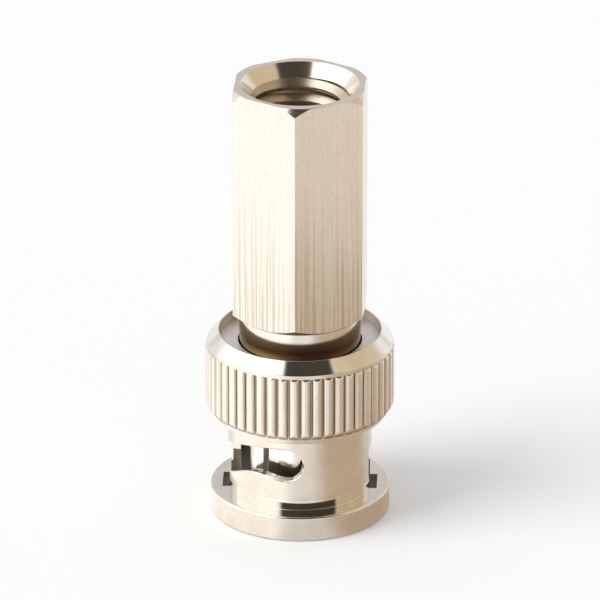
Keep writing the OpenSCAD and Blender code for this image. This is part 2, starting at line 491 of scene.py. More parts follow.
class NodeTree:
    """What the trees of the materials, of the world and of Geometry Nodes have in common."""

    def __init__(self, tree: bpy.types.NodeTree) -> None:
        """Keeps the tree that nodes are added to."""
        self.tree = tree

    def node(self, kind: str, **settings: object) -> bpy.types.Node:
        """Adds a node.

        Args:
            kind: The node's type.
            settings: The node's properties by name.

        Returns:
            The node.
        """
        made = self.tree.nodes.new(kind)
        for key, value in settings.items():
            setattr(made, key, value)
        return made

    def link(self, source: object, socket: bpy.types.NodeSocket) -> None:
        """Links an output to a socket, or sets the socket's value if the source is a plain one.

        Args:
            source: An output, or a value of the socket's kind.
            socket: The input.
        """
        if isinstance(source, bpy.types.NodeSocket):
            self.tree.links.new(source, socket)
        else:
            socket.default_value = source

    def math(self, operation: str, *values: object) -> bpy.types.NodeSocket:
        """Adds a Math node.

        Args:
            operation: What the node works out.
            values: Outputs or numbers, in the order of the node's inputs.

        Returns:
            The result.
        """
        made = self.node("ShaderNodeMath", operation=operation)
        for value, socket in zip(values, made.inputs):
            self.link(value, socket)
        return made.outputs[0]

    def vector(self, x: object, y: object, z: object) -> bpy.types.NodeSocket:
        """Puts a vector together from outputs or numbers.

        Args:
            x: Its first part.
            y: Its second part.
            z: Its third part.

        Returns:
            The vector.
        """
        made = self.node("ShaderNodeCombineXYZ")
        for value, socket in zip((x, y, z), made.inputs):
            self.link(value, socket)
        return made.outputs[0]


class Shader(NodeTree):
    """Builds a node material one step at a time."""

    def __init__(self, name: str) -> None:
        """Starts a material that has nothing but its output.

        Args:
            name: The material's name.
        """
        self.material = bpy.data.materials.new(name)
        self.material.use_nodes = True
        super().__init__(self.material.node_tree)
        self.tree.nodes.clear()
        self.output = self.node("ShaderNodeOutputMaterial")

    @cached_property
    def coordinates(self) -> bpy.types.NodeSocket:
        """Returns the coordinates of the piece's own object."""
        return self.node("ShaderNodeTexCoord").outputs["Object"]

    def scaled(self, x: float, y: float, z: float) -> bpy.types.NodeSocket:
        """Scales the object's coordinates.

        Args:
            x: Features per millimetre along X.
            y: The same along Y.
            z: The same along Z.

        Returns:
            The scaled coordinates.
        """
        made = self.node("ShaderNodeVectorMath", operation="MULTIPLY")
        self.link(self.coordinates, made.inputs[0])
        made.inputs[1].default_value = (x / MM, y / MM, z / MM)
        return made.outputs[0]

    def radius(self) -> bpy.types.NodeSocket:
        """Measures the distance from the axis.

        Returns:
            The distance, in millimetres.
        """
        made = self.node("ShaderNodeVectorMath", operation="LENGTH")
        self.link(self.scaled(1, 1, 0), made.inputs[0])
        return made.outputs["Value"]

    def height(self) -> bpy.types.NodeSocket:
        """Measures the height above the front face.

        Returns:
            The height, in millimetres.
        """
        made = self.node("ShaderNodeSeparateXYZ")
        self.link(self.scaled(1, 1, 1), made.inputs[0])
        return made.outputs["Z"]

    def noise(
        self, where: bpy.types.NodeSocket, detail: float = 3.0, distortion: float = 0.0
    ) -> bpy.types.NodeSocket:
        """Adds noise of one feature to each unit of its coordinates.

        Args:
            where: The coordinates.
            detail: Octaves of finer noise.
            distortion: How far the noise is stirred.

        Returns:
            The noise, from 0 to 1.
        """
        made = self.node("ShaderNodeTexNoise")
        self.link(where, made.inputs["Vector"])
        made.inputs["Scale"].default_value = 1.0
        made.inputs["Detail"].default_value = detail
        made.inputs["Distortion"].default_value = distortion
        return made.outputs["Fac"]

    def turning(self, lines: float) -> bpy.types.NodeSocket:
        """Adds the fine rings that a lathe leaves round the axis.

        Args:
            lines: Rings per millimetre.

        Returns:
            The rings, from 0 to 1.
        """
        across = self.math("MULTIPLY", self.radius(), lines)
        along = self.math("MULTIPLY", self.height(), lines)
        return self.noise(self.vector(across, along, 0.0), detail=2.0)

    def span(
        self, value: object, low: float, high: float, start: float, end: float
    ) -> bpy.types.NodeSocket:
        """Maps a value smoothly from one range to another.

        Args:
            value: The value.
            low: Lower end of its range.
            high: Upper end of its range.
            start: What the lower end becomes.
            end: What the upper end becomes.

        Returns:
            The mapped value.
        """
        made = self.node("ShaderNodeMapRange", interpolation_type="SMOOTHSTEP")
        for number, socket in zip((low, high, start, end), made.inputs[1:5]):
            socket.default_value = number
        self.link(value, made.inputs[0])
        return made.outputs[0]

    def mix(self, share: object, first: object, second: object) -> bpy.types.NodeSocket:
        """Mixes two colours.

        Args:
            share: The share of the second one.
            first: The first colour.
            second: The second colour.

        Returns:
            The mixture.
        """
        made = self.node("ShaderNodeMix", data_type="RGBA")
        self.link(share, made.inputs[0])
        for colour, socket in ((first, made.inputs[6]), (second, made.inputs[7])):
            self.link((*colour, 1.0) if isinstance(colour, tuple) else colour, socket)
        return made.outputs[2]

    def bumped(self, heights: list[tuple[bpy.types.NodeSocket, float]]) -> bpy.types.NodeSocket:
        """Returns the normal of a surface with those reliefs.

        Args:
            heights: Each relief, from 0 to 1, with its full depth in millimetres.

        Returns:
            The normal's socket.
        """
        total: bpy.types.NodeSocket | None = None
        for relief, depth in heights:
            part = self.math("MULTIPLY", relief, depth * MM)
            total = part if total is None else self.math("ADD", total, part)
        made = self.node("ShaderNodeBump")
        made.inputs["Strength"].default_value = 1.0
        made.inputs["Distance"].default_value = 1.0
        self.link(total, made.inputs["Height"])
        return made.outputs["Normal"]

    def finish(self, surface: bpy.types.NodeSocket) -> bpy.types.Material:
        """Links the surface to the output and returns the material."""
        self.link(surface, self.output.inputs["Surface"])
        return self.material


# Features per millimetre of each pattern, across the axis and along it
PATCHES = (0.45, 0.45, 0.3)
GRAINS = (6.5, 6.5, 6.5)
PITS = (2.6, 2.6, 2.6)
DRAWN_LINES = (5.5, 5.5, 0.06)
FINE_LINES = (22, 22, 0.12)
MOULD_PATCHES = (0.8, 0.8, 0.8)
MOULD_GRAINS = (7, 7, 7)
MOULD_RINGS = 6.0
# Heights between which the drawn lines' darker colour fades out, so a drawn surface is darker
# towards the bottom
STREAK_FADE_HEIGHTS = (17.0, 31.0)


@dataclass(frozen=True)
class PlatedMetal:
    """Bright plating with the marks of the tool that shaped what is under it, and, where asked,
    painted shade in grooves and low on a surface.
    """

    name: str
    base: Colour = (0.81, 0.76, 0.69)
    stain: Colour = (0.66, 0.59, 0.50)
    cloud: float = 0.35  # how much of the stain the patches take
    speckle: float = 0.18  # how much of it the fine grain takes
    roughness: float = 0.24
    spread: float = 0.10  # how far the roughness wanders
    grain: float = 0.0016  # depths of the reliefs, in millimetres
    rings: float = 0.0
    ring_lines: float = 5.0
    streaks: float = 0.0
    streak_colour: Colour = (0.56, 0.48, 0.39)
    mottling: float = 0.0
    groove_shade: tuple[float, float] | None = None  # radii between which the painted shade in the grooves clears
    groove_shade_colour: Colour = (0.30, 0.22, 0.15)
    reflected_shade: tuple[float, float] | None = None  # heights between which the painted shade, a painted reflection of the nut's dark recess, clears
    reflected_shade_colour: Colour = (0.24, 0.16, 0.08)

    def build(self) -> bpy.types.Material:
        """Builds the material of this plating.

        Returns:
            The material.
        """
        shader = Shader(self.name)
        patches = shader.noise(shader.scaled(*PATCHES), 4.0, 0.6)
        grain = shader.noise(shader.scaled(*GRAINS), 4.0)
        cloudy = shader.span(patches, 0.38, 0.68, 0.0, self.cloud)
        colour = shader.mix(cloudy, self.base, self.stain)
        colour = shader.mix(shader.span(grain, 0.45, 0.65, 0.0, self.speckle), colour, self.stain)
        reliefs = [(grain, self.grain)]
        rough = shader.math("MULTIPLY_ADD", patches, self.spread, self.roughness - self.spread / 2)
        if self.rings:
            rings = shader.turning(self.ring_lines)
            reliefs.append((rings, self.rings))
            colour = shader.mix(shader.span(rings, 0.5, 0.8, 0.0, 0.25), colour, self.stain)
        if self.streaks:
            lines = shader.noise(shader.scaled(*DRAWN_LINES), 4.0)
            fine = shader.noise(shader.scaled(*FINE_LINES), 2.0)
            reliefs += [(lines, self.streaks), (fine, self.streaks * 0.4)]
            lower = shader.span(shader.height(), *STREAK_FADE_HEIGHTS, 0.9, 0.12)
            share = shader.math("MULTIPLY", shader.span(lines, 0.44, 0.64, 0.0, 1.0), lower)
            colour = shader.mix(share, colour, self.streak_colour)
        if self.mottling:
            pits = shader.noise(shader.scaled(*PITS), 5.0, 0.3)
            reliefs.append((pits, self.mottling))
            rough = shader.math("MULTIPLY_ADD", pits, 0.12, shader.math("SUBTRACT", rough, 0.06))
        # painted shade: darker towards the bottom of the grooves, by radius
        if self.groove_shade:
            groove_shade_share = shader.span(shader.radius(), *self.groove_shade, 1.0, 0.0)
            colour = shader.mix(groove_shade_share, colour, self.groove_shade_colour)
        # painted shade: darker towards the bottom, in place of the reflection of the nut's dark
        # recess
        if self.reflected_shade:
            low = shader.span(shader.height(), *self.reflected_shade, 1.0, 0.0)
            colour = shader.mix(low, colour, self.reflected_shade_colour)
        main = shader.node("ShaderNodeBsdfPrincipled")
        main.inputs["Metallic"].default_value = 1.0
        shader.link(colour, main.inputs["Base Color"])
        shader.link(rough, main.inputs["Roughness"])
        shader.link(shader.bumped(reliefs), main.inputs["Normal"])
        return shader.finish(main.outputs[0])


@dataclass(frozen=True)
class MouldedPart:
    """A turned or moulded part of rubber or polymer."""

    name: str
    base: Colour
    shade: Colour
    roughness: float
    grain: float = 0.004
    scatter: float = 0.0

    def build(self) -> bpy.types.Material:
        """Builds the material of this part.

        Returns:
            The material.
        """
        shader = Shader(self.name)
        patches = shader.noise(shader.scaled(*MOULD_PATCHES), 4.0, 0.4)
        grain = shader.noise(shader.scaled(*MOULD_GRAINS), 3.0)
        rings = shader.turning(MOULD_RINGS)
        main = shader.node("ShaderNodeBsdfPrincipled")
        colour = shader.mix(shader.span(patches, 0.35, 0.7, 0.0, 1.0), self.base, self.shade)
        rough = shader.math("MULTIPLY_ADD", grain, 0.15, self.roughness - 0.07)
        shader.link(colour, main.inputs["Base Color"])
        shader.link(rough, main.inputs["Roughness"])
        if self.scatter:
            main.inputs["Subsurface Weight"].default_value = self.scatter
            main.inputs["Subsurface Radius"].default_value = (0.0006, 0.0005, 0.0004)
        normal = shader.bumped([(grain, self.grain), (rings, self.grain)])
        shader.link(normal, main.inputs["Normal"])
        return shader.finish(main.outputs[0])


class GeometryTree(NodeTree):
    """Builds a Geometry Nodes tree that ends in Realize Instances and Set Material."""

    def __init__(self, name: str, **inputs: str) -> None:
        """Starts a tree that takes and gives geometry and takes a material.

        Args:
            name: The tree's name.
            inputs: Its other inputs' kinds by name, with underscores for spaces.
        """
        super().__init__(bpy.data.node_groups.new(name, "GeometryNodeTree"))
        self.identifiers: dict[str, str] = {}
        for label, kind in {"Geometry": "Geometry", "Material": "Material", **inputs}.items():
            self.add_input(label.replace("_", " "), kind)
        sockets = self.tree.interface
        sockets.new_socket("Geometry", in_out="OUTPUT", socket_type="NodeSocketGeometry")
        self.group_input = self.node("NodeGroupInput")

    def add_input(self, name: str, kind: str) -> None:
        """Adds a named input of that kind and keeps its identifier."""
        sockets = self.tree.interface
        made = sockets.new_socket(name, in_out="INPUT", socket_type=f"NodeSocket{kind}")
        self.identifiers[name] = made.identifier

    def given(self, name: str) -> bpy.types.NodeSocket:
        """Returns the output that carries one of the tree's inputs."""
        return self.group_input.outputs[name]

    def close(self, geometry: bpy.types.NodeSocket) -> None:
        """Realizes the geometry, gives it its material and links it to the output.

        Args:
            geometry: What the tree has made.
        """
        realize = self.node("GeometryNodeRealizeInstances")
        finish = self.node("GeometryNodeSetMaterial")
        end = self.node("NodeGroupOutput")
        self.link(geometry, realize.inputs[0])
        self.link(realize.outputs[0], finish.inputs["Geometry"])
        self.link(self.given("Material"), finish.inputs["Material"])
        self.link(finish.outputs[0], end.inputs[0])

    def run(self, made: bpy.types.Object, **values: object) -> None:
        """Runs the tree on an object and keeps the result as its plain mesh.

        Args:
            made: The object whose mesh goes in.
            values: The tree's inputs by name, with underscores for spaces.
        """
        modifier = made.modifiers.new("tree", "NODES")
        modifier.node_group = self.tree
        for name, value in values.items():
            modifier[self.identifiers[name.replace("_", " ")]] = value
        bpy.context.view_layer.update()
        settle(made)
        smooth_by_angle(made.data)


def ring_tree() -> GeometryTree:
    """Builds a tree that repeats its geometry evenly round the axis.

    Returns:
        The tree.
    """
    tree = GeometryTree("ring of copies", Count="Int")
    points = tree.node("GeometryNodePoints")
    tree.link(tree.given("Count"), points.inputs["Count"])
    step = tree.math("DIVIDE", math.tau, tree.given("Count"))
    angle = tree.math("MULTIPLY", tree.node("GeometryNodeInputIndex").outputs[0], step)
    turn = tree.node("FunctionNodeEulerToRotation")
    tree.link(tree.vector(0.0, 0.0, angle), turn.inputs[0])
    copies = tree.node("GeometryNodeInstanceOnPoints")
    tree.link(points.outputs[0], copies.inputs["Points"])
    tree.link(tree.given("Geometry"), copies.inputs["Instance"])
    tree.link(turn.outputs[0], copies.inputs["Rotation"])
    tree.close(copies.outputs[0])
    return tree


def thread_tree() -> GeometryTree:
    """Builds a tree that winds a tooth's section round the axis and trims it to a cone.

    Returns:
        The tree.
    """
    tree = GeometryTree(
        "wound thread",
        Radius="Float",
        Pitch="Float",
        Start_height="Float",
        Start_angle="Float",
        Cone_radius="Float",
        Cone_height="Float",
        Cone_slope="Float",
        Steps="Int",
        Steps_in_a_turn="Int",
    )
    line = tree.node("GeometryNodeMeshLine")
    tree.link(tree.given("Steps"), line.inputs["Count"])
    index = tree.node("GeometryNodeInputIndex").outputs[0]
    turns = tree.math("DIVIDE", index, tree.given("Steps in a turn"))
    angle = tree.math("MULTIPLY_ADD", turns, math.tau, tree.given("Start angle"))
    x = tree.math("MULTIPLY", tree.math("COSINE", angle), tree.given("Radius"))
    y = tree.math("MULTIPLY", tree.math("SINE", angle), tree.given("Radius"))
    z = tree.math("MULTIPLY_ADD", turns, tree.given("Pitch"), tree.given("Start height"))
    placed = tree.node("GeometryNodeSetPosition")
    tree.link(line.outputs[0], placed.inputs["Geometry"])
    tree.link(tree.vector(x, y, z), placed.inputs["Position"])
    path = tree.node("GeometryNodeMeshToCurve")
    tree.link(placed.outputs[0], path.inputs["Mesh"])
    upright = tree.node("GeometryNodeSetCurveNormal", mode="Z_UP")
    tree.link(path.outputs[0], upright.inputs[0])
    section = tree.node("GeometryNodeMeshToCurve")
    tree.link(tree.given("Geometry"), section.inputs["Mesh"])
    swept = tree.node("GeometryNodeCurveToMesh")
    tree.link(upright.outputs[0], swept.inputs["Curve"])
    tree.link(section.outputs[0], swept.inputs["Profile Curve"])
    tree.link(True, swept.inputs["Fill Caps"])
    position = tree.node("GeometryNodeInputPosition").outputs[0]
    parts = tree.node("ShaderNodeSeparateXYZ")
    tree.link(position, parts.inputs[0])
    flat = tree.node("ShaderNodeVectorMath", operation="LENGTH")
    tree.link(tree.vector(parts.outputs["X"], parts.outputs["Y"], 0.0), flat.inputs[0])
    radius = flat.outputs["Value"]
    above = tree.math("SUBTRACT", parts.outputs["Z"], tree.given("Cone height"))
    cone = tree.math("MULTIPLY_ADD", above, tree.given("Cone slope"), tree.given("Cone radius"))
    grown = tree.math("DIVIDE", tree.math("MAXIMUM", radius, cone), radius)
    trimmed = tree.node("GeometryNodeSetPosition")
    tree.link(swept.outputs[0], trimmed.inputs["Geometry"])
    wide = tree.vector(
        tree.math("MULTIPLY", parts.outputs["X"], grown),
        tree.math("MULTIPLY", parts.outputs["Y"], grown),
        parts.outputs["Z"],
    )
    tree.link(wide, trimmed.inputs["Position"])
    tree.close(trimmed.outputs[0])
    return tree


# ---- finishes --------------------------------------------------------------------------------


class Finishes:
    """All the materials of the plug, built once."""

    def __init__(self) -> None:
        """Builds every finish."""
        self.nut_satin = PlatedMetal(
            "nut_satin",
            base=(0.77, 0.71, 0.63),
            stain=(0.62, 0.54, 0.45),
            rings=0.0012,
            mottling=0.005,
        ).build()
        self.nut_rim = PlatedMetal(
            "nut_rim",
            base=(0.71, 0.645, 0.57),
            stain=(0.55, 0.47, 0.39),
            speckle=0.35,
            roughness=0.3,
            mottling=0.007,
        ).build()
        self.nut_polished = PlatedMetal(
            "nut_polished",
            base=(0.83, 0.80, 0.745),
            roughness=0.07,
            spread=0.04,
            grain=0.0004,
            rings=0.0003,
        ).build()
        self.nut_ridged = PlatedMetal(
            "nut_ridged",
            roughness=0.25,
            mottling=0.003,
            # painted shade deep in the grooves between the grip's ridges
            groove_shade=(7.28, 7.55),
            groove_shade_colour=(0.34, 0.24, 0.15),
        ).build()
        self.bore_dull = PlatedMetal(
            "bore_dull",
            base=(0.56, 0.50, 0.43),
            stain=(0.36, 0.30, 0.24),
            roughness=0.34,
            rings=0.002,
        ).build()
        self.hex_drawn = PlatedMetal(
            "hex_drawn",
            cloud=0.15,
            speckle=0.4,
            streaks=0.0022,
            roughness=0.22,
            spread=0.05,
            grain=0.003,
        ).build()
        self.hex_turned = PlatedMetal(
            "hex_turned",
            rings=0.0012,
            ring_lines=7.0,
            roughness=0.14,
            # painted shade low on the neck, in place of the reflected recess
            reflected_shade=(15.2, 16.3),
        ).build()
        self.hex_bore = PlatedMetal(
            "hex_bore",
            base=(0.55, 0.47, 0.38),
            stain=(0.36, 0.29, 0.22),
            roughness=0.3,
            rings=0.002,
        ).build()
        self.washer = PlatedMetal(
            "washer_stamped",
            base=(0.80, 0.755, 0.73),
            stain=(0.72, 0.67, 0.64),
            roughness=0.38,
            mottling=0.004,
        ).build()
        self.steel = PlatedMetal(
            "plain_steel",
            base=(0.60, 0.59, 0.58),
            stain=(0.48, 0.47, 0.46),
            roughness=0.3,
            rings=0.002,
        ).build()
        self.spring = PlatedMetal(
            "spring_steel",
            base=(0.50, 0.49, 0.48),
            stain=(0.38, 0.37, 0.36),
            roughness=0.28,
            grain=0.003,
        ).build()
        self.contact = PlatedMetal(
            "contact_bright",
            base=(0.85, 0.82, 0.77),
            stain=(0.78, 0.74, 0.67),
            roughness=0.14,
            rings=0.0008,
        ).build()
        self.gold = PlatedMetal(
            "gold_plate",
            base=(0.95, 0.70, 0.24),
            stain=(0.86, 0.58, 0.17),
            roughness=0.16,
            rings=0.0008,
        ).build()
        self.rubber = MouldedPart(
            "gasket_rubber", (0.30, 0.075, 0.045), (0.20, 0.05, 0.035), 0.6
        ).build()
        self.polymer = MouldedPart(
            "turned_polymer",
            (0.83, 0.80, 0.73),
            (0.76, 0.72, 0.64),
            0.42,
            grain=0.003,
            scatter=0.25,
        ).build()


# ---- the plug's sub-assemblies ---------------------------------------------------------------


@dataclass
class SubAssembly:
    """What every sub-assembly shares: how a finished piece is handed to the frame."""

    finishes: Finishes

    def hand_over(self, made: bpy.types.Object, body: Body, slot: str, *nodes: str) -> None:
        """Ties a finished piece to its body and hides the frame nodes that it stands for.

        Args:
            made: The piece.
            body: The body that it rides on.
            slot: Its material slot; not used.
            nodes: The frame nodes that it stands for.
        """
        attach(made, body.value)
        if nodes:
            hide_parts(*nodes)
        LOG.info("%s: %d faces on %s", made.name, len(made.data.polygons), body.value)


@dataclass
class CouplingNut(SubAssembly):
    """The knurled bayonet nut with the washer that closes it."""

    flange_r: float = 7.2
    flange_h: float = 2.1
    edge: float = 0.18
    barrel_r: float = 5.75
    foot_h: float = 0.8
    bore_r: float = 4.95
    mouth_r: float = 6.35
    mouth_h: float = 0.8
    step_r: float = 5.55
    step_h: float = 1.2
    bore_z: float = 1.8
    cavity_r: float = 6.2
    cavity_z: float = 9.6
    cavity_bevel: float = 0.2
    grip_r: float = 7.55
    grip_z: float = 8.45
    groove_depth: float = 0.28
    cone_in: float = 0.6  # the cone below the grip starts this far inside it
    cone_h: float = 0.75
    cone_slope: float = 0.6
    crest_slope: float = 0.714  # the ridges' lower ends rise on from the cone at this slope
    crown_in: float = 0.16  # the ridges' upper ends: how far in, how far below the band
    crown_drop: float = 0.25
    crown_slope: float = 0.867
    ridge_start: float = 0.47  # from the lower end of the grip to the ridges
    ridge_stop: float = 0.22  # from the ridges to the band
    ridge_swell: float = 1.12  # radius of a ridge's round, against half the pitch
    ridge_share: float = 0.52  # half a ridge's width, against the pitch
    ridge_soft: float = 0.05
    ridge_root: float = 0.12  # how far a ridge goes into the nut
    rim_in: float = 0.12
    bevel: float = 0.9
    band_z: float = 14.55
    band_h: float = 0.3
    nut_h: float = 15.45
    ridges: int = 50
    keyway_w: float = 2.7
    keyway_reach: float = 6.2
    keyway_top: float = 4.2
    keyway_angle: float = 178.0
    keyway_core_r: float = 3.5
    seat_r: float = 1.35
    seat_z: float = 5.93
    ramp_z: float = 3.2  # lower edge of a slot at its keyway
    ramp_rise: float = 1.68
    ramp_share: float = 0.68  # share of the travel that the lower edge rises over
    roof_z: float = 5.5  # upper edge of a slot at its keyway
    roof_haste: float = 1.05  # the upper edge is level a little before the seat
    slot_travel: float = 81.0
    slot_lead: float = 14.0
    slot_break: float = 0.08  # size of the broken outer edge
    core_r: float = 4.0  # the cutters start inside the bore
    retainer_r: float = 6.45
    retainer_z: float = 13.85
    retainer_h: float = 0.75
    retainer_bore_r: float = 4.93
    press: float = 0.02

    def outline(self) -> list[Corner]:
        """Lays out the section that the nut is turned to.

        Returns:
            The closed outline, bore first.
        """
        fine, polished = 0.05, 1
        floor_r = self.grip_r - self.groove_depth
        rim_r = self.grip_r - self.rim_in
        cone_r = self.grip_r - self.cone_in
        cone_z = self.grip_z + (floor_r - cone_r) / self.cone_slope
        return [
            Corner(self.mouth_r, 0, fine, polished),
            Corner(self.step_r, self.mouth_h, fine),
            Corner(self.step_r, self.step_h, fine),
            Corner(self.bore_r, self.bore_z, fine, 2),
            Corner(self.bore_r, self.cavity_z - self.cavity_bevel, 0.0, 2),
            Corner(self.bore_r + self.cavity_bevel, self.cavity_z, 0.0, 2),
            Corner(self.cavity_r, self.cavity_z, 0.0, 2),
            Corner(self.cavity_r, self.retainer_z, 0.0, 2),
            Corner(self.retainer_r, self.retainer_z, 0.0, 2),
            Corner(self.retainer_r, self.nut_h, 0.03, polished),
            Corner(rim_r - self.bevel, self.nut_h, 0.03, polished),
            Corner(rim_r, self.band_z, 0.06),
            Corner(rim_r, self.band_z - self.band_h),
            Corner(floor_r, self.band_z - self.band_h),
            Corner(floor_r, cone_z),
            Corner(cone_r, self.grip_z, 0.04),
            Corner(self.barrel_r, self.grip_z, 0.1),
            Corner(self.barrel_r, self.flange_h + self.foot_h, 0.0, polished),
            Corner(self.barrel_r, self.flange_h, 0.03, polished),
            Corner(self.flange_r, self.flange_h, self.edge, 3),
            Corner(self.flange_r, 0, self.edge),
        ]

    def slot_edges(self, share: float) -> tuple[float, float]:
        """Works out where a slot's two edges run.

        Args:
            share: The share of the travel from keyway to seat.

        Returns:
            The heights of its lower and its upper edge.
        """

        def ease(u: float) -> float:
            """Returns a smooth step."""
            return u * u * (3 - 2 * u)

        top = self.ramp_z + self.ramp_rise
        if share < self.ramp_share:
            low = self.ramp_z + self.ramp_rise * ease(share / self.ramp_share)
        else:
            fall = top - self.seat_z + self.seat_r
            low = top - fall * ease((share - self.ramp_share) / (1 - self.ramp_share))
        rise = self.seat_z + self.seat_r - self.roof_z
        high = self.roof_z + rise * math.sin(math.pi / 2 * min(1, share * self.roof_haste))
        return low, high

    def slot_cutter(self, side: float) -> bpy.types.Object:
        """Returns a cutter for one bayonet slot, which also breaks the slot's outer edge.

        Args:
            side: The angle of the slot's keyway, in degrees.

        Returns:
            The cutter.
        """
        flare = self.slot_break + 0.1
        wall = self.barrel_r - self.slot_break
        turn_per_mm = math.degrees(1 / self.barrel_r)

        def ring(angle: float, low: float, high: float, lean: float, rise: float) -> list[Point]:
            """Lays out one section of the cutter.

            Args:
                angle: Its angle past the keyway, in degrees.
                low: Height of its lower edge.
                high: Height of its upper edge.
                lean: Angle that its outer end leans by, in degrees.
                rise: Share of the flare that goes up and down.

            Returns:
                The closed section.
            """
            outer, flared = wall + flare, flare * rise
            section = []
            for radius, height, leaning in (
                (self.core_r, low, False),
                (wall, low, False),
                (outer, low - flared, True),
                (outer, high + flared, True),
                (wall, high, False),
                (self.core_r, high, False),
            ):
                a = math.radians(side + angle + lean * leaning)
                section.append((radius * math.cos(a), radius * math.sin(a), height))
            return section

        rings = []
        steps = 56
        for i in range(steps + 1):
            angle = -self.slot_lead + (self.slot_travel + self.slot_lead) * i / steps
            low, high = self.slot_edges(max(0.0, angle / self.slot_travel))
            lean = -flare * turn_per_mm if i == 0 else 0.0
            rings.append(ring(angle, low, high, lean, 1.0))
        for degrees in range(6, 90, 6):
            a = math.radians(degrees)
            reach = self.seat_r * math.sin(a) * turn_per_mm
            half = self.seat_r * math.cos(a)
            low, high = self.seat_z - half, self.seat_z + half
            lean = flare * turn_per_mm * math.sin(a)
            rings.append(ring(self.slot_travel + reach, low, high, lean, math.cos(a)))
        return loft("slot_cutter", rings, self.materials())

    def materials(self) -> list[bpy.types.Material]:
        """Returns the nut's finishes in the order of its outline's numbers."""
        kinds = self.finishes
        return [kinds.nut_satin, kinds.nut_polished, kinds.bore_dull, kinds.nut_rim]

    def build_nut(self) -> bpy.types.Object:
        """Turns the nut and cuts its keyways and slots.

        Returns:
            The nut.
        """
        nut = turned("nut_shell", self.outline(), self.materials(), segments=256, steps=5)
        cutters = []
        for side in (self.keyway_angle, self.keyway_angle + 180):
            half = self.keyway_w / 2
            low = (self.keyway_core_r, -half, -1.0)
            high = (self.keyway_reach, half, self.keyway_top)
            keyway = block("keyway_cutter", low, high, side, self.materials())
            keyway.data.polygons.foreach_set("material_index", [2] * len(keyway.data.polygons))
            cutters.append(keyway)
            cutters.append(self.slot_cutter(side))
        carve(nut, cutters)
        restore_turned_normals(nut, self.outline(), steps=5)
        return nut

    def ridge_limit(self, height: float) -> float:
        """Works out how far the ridges reach at a height, where their ends are bevelled.

        Args:
            height: The height.

        Returns:
            The radius that no ridge passes.
        """
        up = height - self.grip_z
        foot = self.grip_r - self.cone_in + up * self.cone_slope
        if up >= self.cone_h:
            start = self.grip_r - self.cone_in + self.cone_h * self.cone_slope
            foot = start + (up - self.cone_h) * self.crest_slope
        down = self.band_z - self.crown_drop - height
        return min(foot, self.grip_r - self.crown_in + down * self.crown_slope)

    def ridge_section(self, height: float) -> list[Point]:
        """Lays out a section through one ridge.

        Args:
            height: The section's height.

        Returns:
            The closed section.
        """
        pitch = math.tau * self.grip_r / self.ridges
        radius = pitch / 2 * self.ridge_swell
        centre = self.grip_r - radius
        limit = self.ridge_limit(height)
        section = []
        across = 14
        for i in range(across + 1):
            t = pitch * self.ridge_share * (2 * i / across - 1)
            crest = centre + math.sqrt(max(radius**2 - t**2, 0.0))
            gap = min(1.0, max(-1.0, (crest - limit) / (2 * self.ridge_soft)))
            r = min(crest, limit) - self.ridge_soft * (1 - abs(gap)) ** 2 / 2
            angle = t / self.grip_r
            section.append((r * math.cos(angle), r * math.sin(angle), height))
        back = self.grip_r - self.groove_depth - self.ridge_root
        half = pitch * 0.5 / self.grip_r
        for angle in (half, -half):
            section.append((back * math.cos(angle), back * math.sin(angle), height))
        return section

    def build_ridges(self) -> bpy.types.Object:
        """Makes one ridge and repeats it round the grip.

        Returns:
            The ring of ridges.
        """
        low, high = self.grip_z + self.ridge_start, self.band_z - self.ridge_stop
        foot_rows, foot_step = 14, 0.06
        crown_rows, crown_step = 9, 0.04
        plain_rows = 6
        foot = [low + foot_step * i for i in range(foot_rows)]
        crown = [high - crown_step * i for i in range(crown_rows)][::-1]
        plain = np.linspace(foot[-1], crown[0], plain_rows + 2).tolist()[1:-1]
        loops = [self.ridge_section(height) for height in foot + plain + crown]
        ridges = loft("grip_ridges", loops, [self.finishes.nut_ridged])
        ring_tree().run(ridges, Count=self.ridges, Material=self.finishes.nut_ridged)
        return ridges

    def build_retainer(self) -> bpy.types.Object:
        """Turns the flat washer that is pressed into the nut's rear.

        Returns:
            The retainer.
        """
        low, high = self.retainer_z, self.retainer_z + self.retainer_h
        rim = self.retainer_r + self.press
        corners = flat_ring(self.retainer_bore_r, rim, low, high, edge=0.06)
        return turned("retainer_washer", corners, [self.finishes.washer])

    def build(self) -> None:
        """Builds the nut's pieces and hands them over."""
        self.hand_over(self.build_nut(), Body.COUPLING, "nickel_nut", "coupling_nut")
        self.hand_over(self.build_ridges(), Body.COUPLING, "nickel_nut")
        self.hand_over(self.build_retainer(), Body.COUPLING, "nickel_washer", "nut_retainer")


